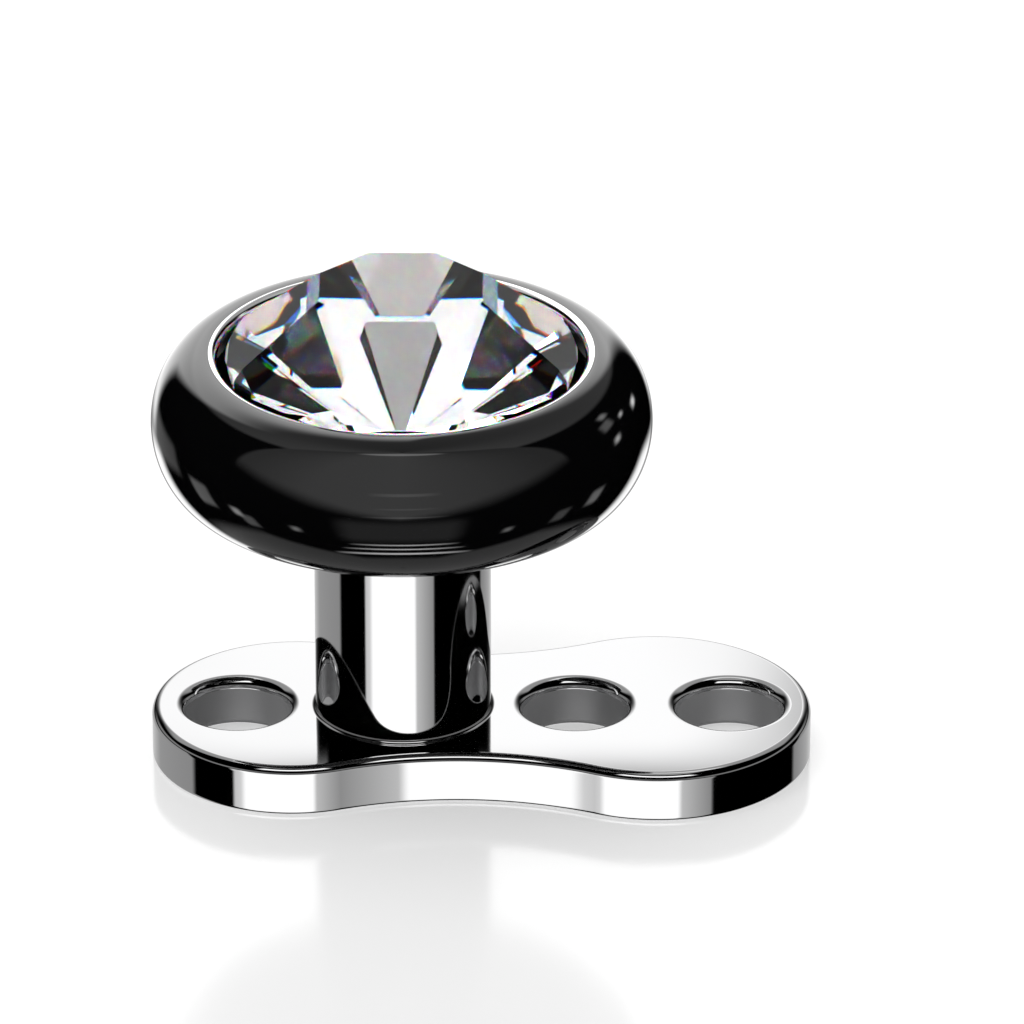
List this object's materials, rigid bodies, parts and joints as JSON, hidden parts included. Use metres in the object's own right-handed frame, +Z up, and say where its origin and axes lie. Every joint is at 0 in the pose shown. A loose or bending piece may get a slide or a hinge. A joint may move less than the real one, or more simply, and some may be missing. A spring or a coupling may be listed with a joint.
{
  "type": "dermal anchor",
  "caption": "Dermal anchor: a lobed foot plate with round through holes, a round post, and a black cup with a clear faceted stone that screws into the post.",
  "frame": {"origin": "on the post's axis, at the foot plate's underside", "axes": "+Z up along the post, +X towards the foot plate's long side, +Y across the plate"},
  "size_m": [0.0068, 0.0052, 0.0053],
  "materials": {
    "polished_metal": "mirror-polished titanium",
    "black_coating": "gloss black coating on metal",
    "crystal": "clear, faceted, with a mirrored back",
    "screw_metal": "machined thread"
  },
  "bodies": {
    "anchor": {"anchor_base": "polished_metal"},
    "top": {"cap": "black_coating", "stone": "crystal", "screw": "screw_metal"}
  },
  "joints": [
    {"name": "top_lift", "type": "slide", "parent": "anchor", "child": "top", "axis": [0, 0, 1], "range_m": [0, 0.0032]}
  ]
}
